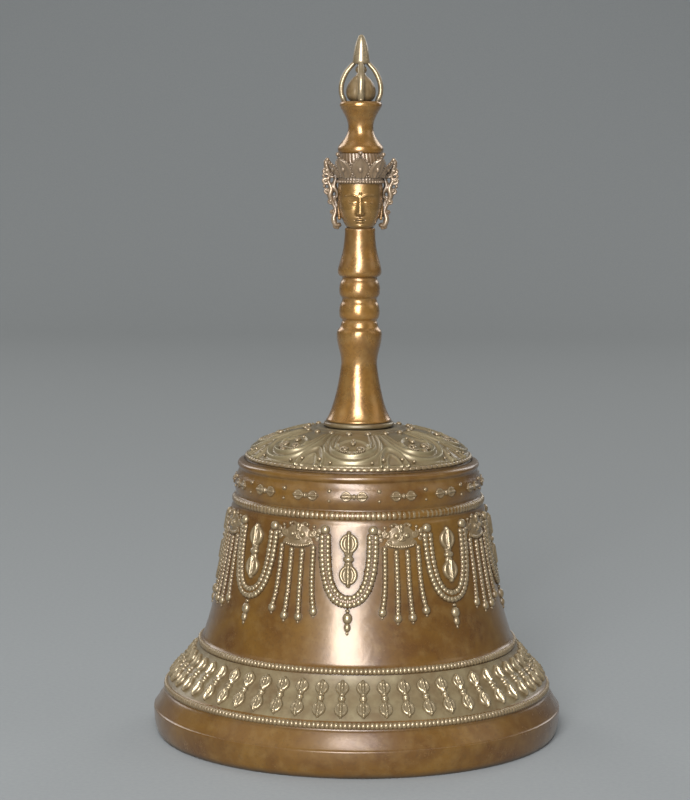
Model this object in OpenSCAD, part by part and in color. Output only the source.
// Ritual hand bell: a cast bronze bell, a handle of turned and cast pieces stacked on one
// tie rod, and a clapper that hangs from a ring under the crown.
// Millimetres. The bell stands on z = 0 with its axis on Z, and the head on the handle faces -Y.

/* [Bell] */
// Radius of the lip at its widest
lip_r = 49.7; // [46:0.1:60]
// Radius of the outer edge of the face that the bell stands on
foot_r = 48.3; // [44:0.1:58]
// Width of the face that the bell stands on
foot_w = 4.2; // [3:0.1:6]
// Height of the lip's outer edge
lip_h = 7.2; // [5:0.1:10]
// Height of the bevel from the lip's edge to the hem's lower bead row
bevel_h = 4.6; // [4:0.1:8]
// Radius at the hem's lower bead row
hem_r = 46.4; // [42:0.1:56]
// Height of the hem band between its two bead rows
hem_h = 10.8; // [8:0.1:16]
// Radius at the hem's upper bead row, where the waist ends
waist_r = 38.2; // [34:0.1:44]
// Height of the waist between the hem and the shoulder band
waist_h = 34.8; // [26:0.1:42]
// Radius at the shoulder's lower bead row
shoulder_r = 30.0; // [26:0.1:36]
// Height of the shoulder band between its two bead rows
shoulder_h = 7.8; // [6:0.1:12]
// Radius of the dome at its base
dome_r = 28.2; // [25:0.1:33]
// Height of the dome over the shoulder band
dome_h = 10.3; // [8:0.1:15]
// Section radius of the bead rows on the hem and of the rim of the dome
bead_row_r = 0.95; // [0.6:0.05:1.3]
// Section radius of the bead row under the shoulder band
shoulder_row_r = 1.2; // [0.8:0.05:1.5]
// Wall thickness of the waist and shoulder
wall = 2.9; // [2:0.1:4]
// Wall thickness of the dome
crown_wall = 3.2; // [2.5:0.1:4.5]

/* [Handle] */
// Radius of the flange between the handle and the bell
flange_r = 8.5; // [7:0.1:10]
// Thickness of the flange
flange_h = 1.2; // [0.8:0.1:2]
// Height of the flared grip
flare_h = 24.2; // [18:0.1:32]
// Radius of the flared grip at its shoulder
flare_top_r = 5.45; // [4.5:0.05:7]
// Radius of the flared grip at its foot
flare_foot_r = 7.9; // [6:0.1:8.4]
// Height of each grip bead
grip_bead_h = 5.3; // [4:0.1:7]
// Radius of each grip bead
grip_bead_r = 4.9; // [4.4:0.05:6.5]
// Radius of the grooves between the grip pieces
groove_r = 4.25; // [3.6:0.05:4.4]
// Height of the neck below the head
neck_h = 11.4; // [8:0.1:15]
// Radius of the neck at its widest
neck_r = 5.2; // [4.5:0.05:6.5]
// Height of the spool above the head
spool_h = 11.0; // [8:0.1:15]
// Radius of the spool at its waist
spool_waist_r = 3.0; // [2.4:0.05:4]
// Radius of the spool at its foot
spool_foot_r = 5.5; // [4.6:0.05:7]

/* [Head] */
// Height of the head from chin to top
head_h = 18.4; // [14:0.1:24]
// Radius of the head at the cheeks
head_r = 5.15; // [4.6:0.05:6.4]
// Radius of the top of the head, inside the crown
scalp_r = 4.7; // [4.2:0.05:4.8]
// Height of the crown's seat over the chin
brow_h = 11.6; // [9:0.1:13]
// Height of the crown's leaves over its band
leaf_h = 5.3; // [3:0.1:6]
// Number of leaves on the crown
leaf_count = 5; // [3:2:7]
// Angle between the crown's leaves
leaf_step = 37; // [30:1:45]
// Width of a hair ribbon, from front to back
ribbon_t = 2.6; // [1.5:0.1:3]
// How far behind the head's middle the ribbons start
ribbon_back = 0.5; // [0.4:0.1:1.5]
// How far a hair ribbon stands out at its top
ribbon_out = 3.7; // [2.5:0.1:5]

/* [Vajra] */
// Radius of the vajra's seat
seat_r = 5.0; // [4.2:0.05:6]
// Thickness of the vajra's seat
seat_h = 1.5; // [1:0.1:2.5]
// Radius of the cage that the prongs form, at their outer faces
cage_r = 5.25; // [4.8:0.05:6.5]
// Height of the cage
cage_h = 8.9; // [7:0.1:12]
// Thickness of a prong
prong_d = 1.1; // [0.9:0.05:1.6]
// Radius of the bulb at the foot of the centre spike
bulb_r = 3.4; // [2.6:0.05:3.6]
// Radius of the spike's cone at its base
cone_r = 1.9; // [1.5:0.05:2.4]
// Height of the spike's cone
cone_h = 6.9; // [5:0.1:9]

/* [Rod and hanger] */
// Radius of the tie rod
rod_r = 1.5; // [1:0.05:1.8]
// Radial clearance of every hole on the tie rod
rod_gap = 0.1; // [0.05:0.05:0.2]
// Depth of the rod's blind hole in the spike
spike_hole = 2.4; // [1.5:0.1:3]
// Radius of the washer under the crown
washer_r = 7.0; // [5:0.1:9]
// Thickness of the washer
washer_h = 1.2; // [0.8:0.1:2]
// Width across the flats of both nuts
nut_af = 7.0; // [5.5:0.1:9]
// Thickness of the lock nut
lock_nut_h = 2.6; // [2:0.1:4]
// Thickness of the eye nut's hexagon
eye_nut_h = 4.2; // [3:0.1:6]
// Depth of the rod's blind hole in the eye nut
eye_nut_hole = 3.0; // [2:0.1:3.4]
// Mean radius of the eye under the nut
eye_r = 3.0; // [2.7:0.1:4]
// Wire radius of the eye
eye_wire = 0.9; // [0.6:0.05:1.1]
// Mean radius of the hanger ring
ring_r = 3.4; // [3:0.1:4.5]
// Wire radius of the hanger ring
ring_wire = 0.75; // [0.5:0.05:0.9]

/* [Clapper] */
// Mean radius of the clapper's own eye
clapper_eye_r = 2.7; // [2.4:0.1:3.5]
// Wire radius of the clapper's eye
clapper_eye_wire = 0.8; // [0.6:0.05:1]
// Length of the shank from its eye to the middle of the ball
shank_l = 36.0; // [25:0.1:42]
// Radius of the shank under its eye
shank_top_r = 1.3; // [1:0.05:2]
// Radius of the shank through the ball
shank_r = 1.6; // [1.2:0.05:2.5]
// Radius of the ball
ball_r = 6.5; // [5:0.1:8]
// Radius of the riveted tip under the ball
tip_r = 2.6; // [2.1:0.05:3.5]
// Height of the riveted tip under the ball
tip_h = 1.5; // [1:0.1:2]
// Gap between parts that hang on each other
hang_gap = 0.05; // [0.03:0.01:0.15]

/* [Hidden] */
$fn = 64;
bronze = [0.55, 0.38, 0.18];
brass = [0.66, 0.50, 0.25];
iron = [0.30, 0.28, 0.26];
bore_r = rod_r + rod_gap;
cut = 1; // how far a cutting solid runs past what it cuts

// Heights on the bell, from the table up
hem_z = lip_h + bevel_h;
waist_z = hem_z + hem_h;
shoulder_z = waist_z + waist_h;
dome_z = shoulder_z + shoulder_h;
crown_z = dome_z + dome_h * sqrt(1 - pow(flange_r / dome_r, 2)); // the flange's seat
inner_crown_z = dome_z + dome_h - crown_wall;
boss_r = washer_r + 0.5; // the flat boss that the washer seats on
boss_z = dome_z - 1 + (inner_crown_z - dome_z + 1) * sqrt(1 - pow(boss_r / (dome_r - wall), 2));

// Heights on the handle, each piece on the one below
flare_z = crown_z + flange_h;
lower_bead_z = flare_z + flare_h;
upper_bead_z = lower_bead_z + grip_bead_h;
neck_z = upper_bead_z + grip_bead_h;
head_z = neck_z + neck_h;
brow_z = head_z + brow_h;
spool_z = head_z + head_h;
seat_z = spool_z + spool_h;
vajra_z = seat_z + seat_h;
cone_z = vajra_z + cage_h;
rod_top_z = vajra_z + spike_hole;

// Heights under the crown, each piece under the one above
washer_z = boss_z - washer_h;
lock_nut_z = washer_z - lock_nut_h;
eye_nut_z = lock_nut_z - eye_nut_h;
rod_foot_z = lock_nut_z - eye_nut_hole;
eye_z = eye_nut_z - eye_r + eye_wire / 2;
swing_z = eye_z - eye_r;
ring_z = swing_z + eye_wire + hang_gap + ring_wire - ring_r;
sway_z = ring_z - ring_r;
clapper_eye_z = sway_z + ring_wire + hang_gap + clapper_eye_wire - clapper_eye_r;
shank_z = clapper_eye_z - clapper_eye_r;
ball_z = shank_z - shank_l;
tip_z = ball_z - ball_r;

// Points along a cubic curve, and along an arc of a circle or an ellipse
function bezier(a, b, c, d, n = 10) = [
    for (i = [0 : n])
        let (t = i / n, s = 1 - t)
            s * s * s * a + 3 * s * s * t * b + 3 * s * t * t * c + t * t * t * d
];
function arc(centre, rx, ry, from, to, n = 8) = [
    for (i = [0 : n])
        let (a = from + (to - from) * i / n)
            centre + [rx * cos(a), ry * sin(a)]
];

// The waist's curve, moved inwards by off
function waist_curve(off) = bezier(
    [shoulder_r + 0.5 - off, shoulder_z],
    [shoulder_r + (waist_r - shoulder_r) * 0.31 - off, shoulder_z - waist_h * 0.33],
    [shoulder_r + (waist_r - shoulder_r) * 0.50 - off, shoulder_z - waist_h * 0.68],
    [waist_r - off, waist_z], 14
);

// The outside of the bell from the flange's seat down to the table
function bell_outside() = concat(
    arc([0, dome_z], dome_r, dome_h, acos(flange_r / dome_r), 4, 20),
    arc([dome_r + 0.2, dome_z], bead_row_r, bead_row_r, 80, -80, 8),
    [[dome_r + 1.1, dome_z - bead_row_r - 0.6], [shoulder_r - 0.3, shoulder_z + shoulder_row_r + 0.4]],
    arc([shoulder_r - 0.2, shoulder_z], shoulder_row_r, shoulder_row_r, 80, -50, 8),
    [for (i = [1 : 13]) waist_curve(0)[i]],
    arc([waist_r + 0.1, waist_z], bead_row_r, bead_row_r, 60, -60, 8),
    arc([hem_r, hem_z], bead_row_r, bead_row_r, 40, -60, 8),
    [[hem_r + 0.9, hem_z - 1.7]],
    bezier(
        [hem_r + 1.7, hem_z - 2.3], [hem_r + 2.9, hem_z - 3.0],
        [lip_r - 0.3, lip_h + 0.9], [lip_r, lip_h], 6
    ),
    bezier([lip_r - 0.05, lip_h * 0.3], [lip_r - 0.1, 0.5], [foot_r + 1.0, 0], [foot_r, 0], 6)
);

// The inside of the bell from the table up to the axis
function bell_inside() = concat(
    [[foot_r - foot_w, 0]],
    bezier(
        [foot_r - foot_w - 0.3, 0.8], [foot_r - foot_w - 0.6, hem_z * 0.6],
        [waist_r - wall + 3.6, waist_z - hem_h * 0.55], [waist_r - wall, waist_z], 10
    ),
    [for (i = [13 : -1 : 0]) waist_curve(wall)[i]],
    [[dome_r - wall, dome_z - 1]],
    arc([0, dome_z - 1], dome_r - wall, inner_crown_z - dome_z + 1, 6, acos(boss_r / (dome_r - wall)), 14),
    [[0, boss_z]]
);

// A solid of revolution around the tie rod, bored through for it
module turned(outline) {
    rotate_extrude(convexity = 6)
        polygon(concat(outline, [[bore_r, outline[len(outline) - 1][1]], [bore_r, outline[0][1]]]));
}

// A closed ring of round wire in the XZ plane, or turned into the YZ plane
module wire_ring(r, wire, z, turn = 0) {
    translate([0, 0, z])
        rotate([90, 0, turn])
            rotate_extrude(convexity = 4)
                translate([r, 0])
                    circle(wire);
}

module bell_shell() {
    color(bronze)
        difference() {
            rotate_extrude(convexity = 8)
                polygon(concat([[0, crown_z]], bell_outside(), bell_inside()));
            translate([0, 0, boss_z - cut])
                cylinder(r = bore_r, h = crown_z - boss_z + 2 * cut);
        }
}

module foot_flange() {
    edge = flange_h * 0.35;
    color(brass)
        turned(concat(
            [[flange_r - edge, crown_z]],
            arc([flange_r - edge, crown_z + flange_h / 2], edge, flange_h / 2 - 0.1, -90, 90, 8),
            [[flange_r - edge, flare_z]]
        ));
}

module grip_flare() {
    shoulder = lower_bead_z - 3.2;
    waist = flare_z + flare_h * 0.57;
    waist_rad = groove_r + 0.1;
    color(brass)
        turned(concat(
            bezier(
                [flare_foot_r, flare_z], [flare_foot_r - 1.7, flare_z + flare_h * 0.10],
                [waist_rad + 0.55, flare_z + flare_h * 0.385], [waist_rad, waist], 12
            ),
            bezier(
                [waist_rad, waist + 0.3], [waist_rad + 0.1, waist + flare_h * 0.12],
                [flare_top_r, shoulder - 2.6], [flare_top_r, shoulder], 8
            ),
            bezier(
                [flare_top_r - 0.03, shoulder + 0.5], [flare_top_r - 0.2, shoulder + 1.7],
                [groove_r + 0.5, lower_bead_z - 0.9], [groove_r, lower_bead_z], 6
            )
        ));
}

// A barrel-shaped bead between two grooves
module grip_bead(z) {
    color(brass)
        turned(concat(
            [[groove_r, z]],
            bezier(
                [groove_r + 0.1, z + 0.35], [grip_bead_r + 0.2, z + 0.7],
                [grip_bead_r + 0.2, z + grip_bead_h - 0.7], [groove_r + 0.1, z + grip_bead_h - 0.35], 14
            ),
            [[groove_r, z + grip_bead_h]]
        ));
}

module lower_grip_bead() {
    grip_bead(lower_bead_z);
}

module upper_grip_bead() {
    grip_bead(upper_bead_z);
}

module lower_neck() {
    color(brass)
        turned(concat(
            [[groove_r, neck_z]],
            bezier(
                [groove_r + 0.2, neck_z + 0.3], [neck_r - 0.1, neck_z + 0.6],
                [neck_r + 0.1, neck_z + 1.9], [neck_r - 0.1, neck_z + 2.9], 8
            ),
            bezier(
                [neck_r - 0.35, neck_z + 3.9], [neck_r - 0.9, neck_z + neck_h * 0.55],
                [groove_r - 0.65, neck_z + neck_h * 0.75], [groove_r - 0.65, head_z], 10
            )
        ));
}

// The outside of the head from the chin to the brow
function face_outline() = concat(
    [[groove_r - 0.6, head_z]],
    bezier(
        [groove_r - 0.2, head_z + 0.7], [head_r - 0.2, head_z + brow_h * 0.2],
        [head_r, head_z + brow_h * 0.4], [head_r, head_z + brow_h * 0.65], 10
    ),
    [[head_r - 0.05, brow_z]]
);

// The head, with a narrower top that the crown seats around
module head() {
    color(brass)
        turned(concat(face_outline(), [[scalp_r, brow_z], [scalp_r, spool_z]]));
}

// A leaf of the crown: a pointed outline, thin, leaning outwards
module crown_leaf(w, h) {
    side = bezier([w * 0.30, -0.6], [w * 0.62, h * 0.30], [w * 0.50, h * 0.62], [0.12, h], 8);
    translate([0, -(scalp_r + 0.9), 2.0])
        rotate([32, 0, 0])
            rotate([90, 0, 0])
                linear_extrude(height = 0.9, center = true)
                    polygon(concat(side, [for (i = [8 : -1 : 0]) [-side[i][0], side[i][1]]]));
}

module crown() {
    half = (leaf_count - 1) / 2;
    color(brass)
        translate([0, 0, brow_z])
            difference() {
                union() {
                    rotate_extrude(convexity = 4)
                        polygon([
                            [scalp_r, 0], [scalp_r + 0.75, 0], [scalp_r + 1.0, 0.5],
                            [scalp_r + 1.35, 2.4], [scalp_r + 1.1, 3.1], [scalp_r, 3.1]
                        ]);
                    for (i = [-half : half])
                        rotate(i * leaf_step)
                            crown_leaf(3.9, leaf_h);
                }
                translate([0, 0, -cut])
                    cylinder(r = scalp_r + hang_gap, h = leaf_h + 4 * cut);
            }
}

// A hair ribbon that is brazed to the side of the head: side is 1 for +X and -1 for -X
module ribbon(side) {
    root = head_r - 0.25;
    inner = sqrt(head_r * head_r - pow(ribbon_back + ribbon_t, 2)) - 0.3;
    out = concat(
        [[inner, brow_z - 0.3], [inner, head_z + 1.3]],
        bezier(
            [root, head_z + 1.0], [root + 1.9, head_z + 0.4],
            [root + 1.3, head_z + 4.0], [root + 2.3, head_z + 6.4], 8
        ),
        bezier(
            [root + 2.1, head_z + 7.4], [root + ribbon_out - 0.4, head_z + 9.6],
            [root + ribbon_out + 0.9, brow_z + 0.6], [root + ribbon_out - 0.3, brow_z + 3.7], 8
        ),
        bezier(
            [root + ribbon_out - 0.9, brow_z + 3.6], [root + 2.0, brow_z + 2.0],
            [root + 1.6, brow_z + 0.4], [root, brow_z - 0.3], 8
        )
    );
    color(brass)
        scale_x(side)
            difference() {
                translate([0, ribbon_back + ribbon_t, 0])
                    rotate([90, 0, 0])
                        linear_extrude(height = ribbon_t)
                            polygon(out);
                // the head's own surface, which the ribbon is brazed to
                rotate_extrude(convexity = 4)
                    polygon(concat([[0, brow_z], [0, head_z]], face_outline()));
                // room for the crown's band
                translate([0, 0, brow_z - 0.1])
                    cylinder(r1 = scalp_r + 1.2, r2 = scalp_r + 1.6, h = 3.4);
            }
}

// A mirrored or plain copy of its children
module scale_x(side) {
    if (side < 0)
        mirror([1, 0, 0]) children();
    else
        children();
}

module left_ribbon() {
    ribbon(-1);
}

module right_ribbon() {
    ribbon(1);
}

module upper_spool() {
    waist = spool_z + spool_h * 0.55;
    color(brass)
        turned(concat(
            bezier(
                [spool_foot_r - 0.5, spool_z], [spool_foot_r + 0.1, spool_z + 0.3],
                [spool_foot_r + 0.1, spool_z + 0.9], [spool_foot_r - 0.2, spool_z + 1.4], 6
            ),
            bezier(
                [spool_foot_r - 0.6, spool_z + 2.1], [spool_waist_r + 0.9, spool_z + 3.9],
                [spool_waist_r, waist - 1.4], [spool_waist_r, waist], 8
            ),
            bezier(
                [spool_waist_r + 0.02, waist + 0.3], [spool_waist_r + 0.3, waist + 1.6],
                [seat_r - 0.6, seat_z - 1.2], [seat_r, seat_z], 8
            )
        ));
}

module vajra_seat() {
    color(brass)
        turned(bezier(
            [seat_r, seat_z], [seat_r + 0.15, seat_z + 0.7],
            [seat_r - 0.05, vajra_z - 0.1], [seat_r - 0.4, vajra_z], 8
        ));
}

// One curved prong, from the seat out to the cage's widest place and in under the cone
module prong(turn) {
    foot = [cage_r - prong_d / 2 - 0.6, 0];
    belly = [cage_r - prong_d / 2, cage_h * 0.37];
    top = [cone_r - 0.1, cage_h];
    // centre of the circle through those three points
    d1 = belly - foot;
    d2 = top - belly;
    m1 = (foot + belly) / 2;
    m2 = (belly + top) / 2;
    det = d1[0] * d2[1] - d1[1] * d2[0];
    c = [(m1 * d1 * d2[1] - m2 * d2 * d1[1]) / det, (m2 * d2 * d1[0] - m1 * d1 * d2[0]) / det];
    bend_r = norm(belly - c);
    from = atan2(foot[1] - c[1], foot[0] - c[0]) - 8;
    to = atan2(top[1] - c[1], top[0] - c[0]) + 8;
    color(brass)
        rotate(turn)
            translate([0, 0, vajra_z])
                intersection() {
                    translate([c[0], 0, c[1]])
                        rotate([90, 0, 0])
                            rotate([0, 0, from])
                                rotate_extrude(angle = to - from, convexity = 4)
                                    translate([bend_r, 0])
                                        circle(prong_d / 2);
                    translate([0, -prong_d, 0])
                        cube([cage_r + prong_d, 2 * prong_d, cage_h]);
                }
}

module prong_front() {
    prong(-90);
}

module prong_right() {
    prong(0);
}

module prong_back() {
    prong(90);
}

module prong_left() {
    prong(180);
}

// The centre spike: an onion bulb, a slim stem with a knob, and a long cone
module vajra_spike() {
    stem = cone_r - prong_d / 2 - 0.4;
    color(brass)
        difference() {
            rotate_extrude(convexity = 6)
                polygon(concat(
                    [[0, vajra_z]],
                    bezier(
                        [bulb_r - 0.9, vajra_z], [bulb_r + 0.5, vajra_z + 1.4],
                        [bulb_r + 0.3, vajra_z + 3.0], [stem + 0.5, vajra_z + 4.6], 10
                    ),
                    [[stem, vajra_z + cage_h * 0.62], [stem, cone_z - 0.01], [cone_r, cone_z]],
                    bezier(
                        [cone_r, cone_z + 0.6], [cone_r - 0.2, cone_z + cone_h * 0.5],
                        [cone_r - 0.6, cone_z + cone_h - 0.3], [0, cone_z + cone_h], 12
                    )
                ));
            translate([0, 0, vajra_z - cut])
                cylinder(r = bore_r, h = spike_hole + cut);
        }
}

module tie_rod() {
    color(iron)
        translate([0, 0, rod_foot_z])
            cylinder(r = rod_r, h = rod_top_z - rod_foot_z);
}

module crown_washer() {
    color(iron)
        translate([0, 0, washer_z])
            difference() {
                cylinder(r = washer_r, h = washer_h);
                translate([0, 0, -cut])
                    cylinder(r = bore_r, h = washer_h + 2 * cut);
            }
}

// A hexagonal prism nut_af across its flats
module hexagon(z, h) {
    translate([0, 0, z])
        cylinder(r = nut_af / sqrt(3), h = h, $fn = 6);
}

module lock_nut() {
    color(iron)
        difference() {
            hexagon(lock_nut_z, lock_nut_h);
            translate([0, 0, lock_nut_z - cut])
                cylinder(r = bore_r, h = lock_nut_h + 2 * cut);
        }
}

module eye_nut() {
    color(iron)
        difference() {
            union() {
                hexagon(eye_nut_z, eye_nut_h);
                wire_ring(eye_r, eye_wire, eye_z, 90);
            }
            translate([0, 0, rod_foot_z])
                cylinder(r = bore_r, h = eye_nut_hole + cut);
        }
}

module hanger_ring() {
    color(iron)
        wire_ring(ring_r, ring_wire, ring_z);
}

// The clapper's eye and its shank, which goes through the ball
module clapper_shank() {
    color(iron)
        union() {
            wire_ring(clapper_eye_r, clapper_eye_wire, clapper_eye_z, 90);
            translate([0, 0, ball_z])
                cylinder(r1 = shank_r, r2 = shank_top_r, h = shank_l);
            translate([0, 0, tip_z])
                cylinder(r = shank_r, h = ball_r + 0.01);
        }
}

module clapper_ball() {
    color(bronze)
        difference() {
            translate([0, 0, ball_z])
                sphere(r = ball_r);
            translate([0, 0, tip_z - cut])
                cylinder(r = shank_r, h = ball_r + cut);
            translate([0, 0, ball_z])
                cylinder(r1 = shank_r, r2 = shank_top_r, h = shank_l);
            translate([0, 0, tip_z - cut])
                cylinder(r = tip_r, h = cut + ball_r - sqrt(ball_r * ball_r - tip_r * tip_r));
        }
}

// The shank's end, hammered over under the ball
module clapper_tip() {
    seat = tip_z + ball_r - sqrt(ball_r * ball_r - tip_r * tip_r);
    color(iron)
        difference() {
            rotate_extrude(convexity = 4)
                polygon(concat(
                    [[0, tip_z - tip_h]],
                    bezier(
                        [0.8, tip_z - tip_h], [tip_r - 0.2, tip_z - tip_h],
                        [tip_r, tip_z - tip_h * 0.6], [tip_r, seat], 8
                    ),
                    [[0, seat]]
                ));
            translate([0, 0, tip_z])
                cylinder(r = shank_r, h = ball_r);
        }
}

bell_shell();
foot_flange();
grip_flare();
lower_grip_bead();
upper_grip_bead();
lower_neck();
head();
crown();
left_ribbon();
right_ribbon();
upper_spool();
vajra_seat();
prong_front();
prong_right();
prong_back();
prong_left();
vajra_spike();
tie_rod();
crown_washer();
lock_nut();
eye_nut();
hanger_ring();
clapper_shank();
clapper_ball();
clapper_tip();
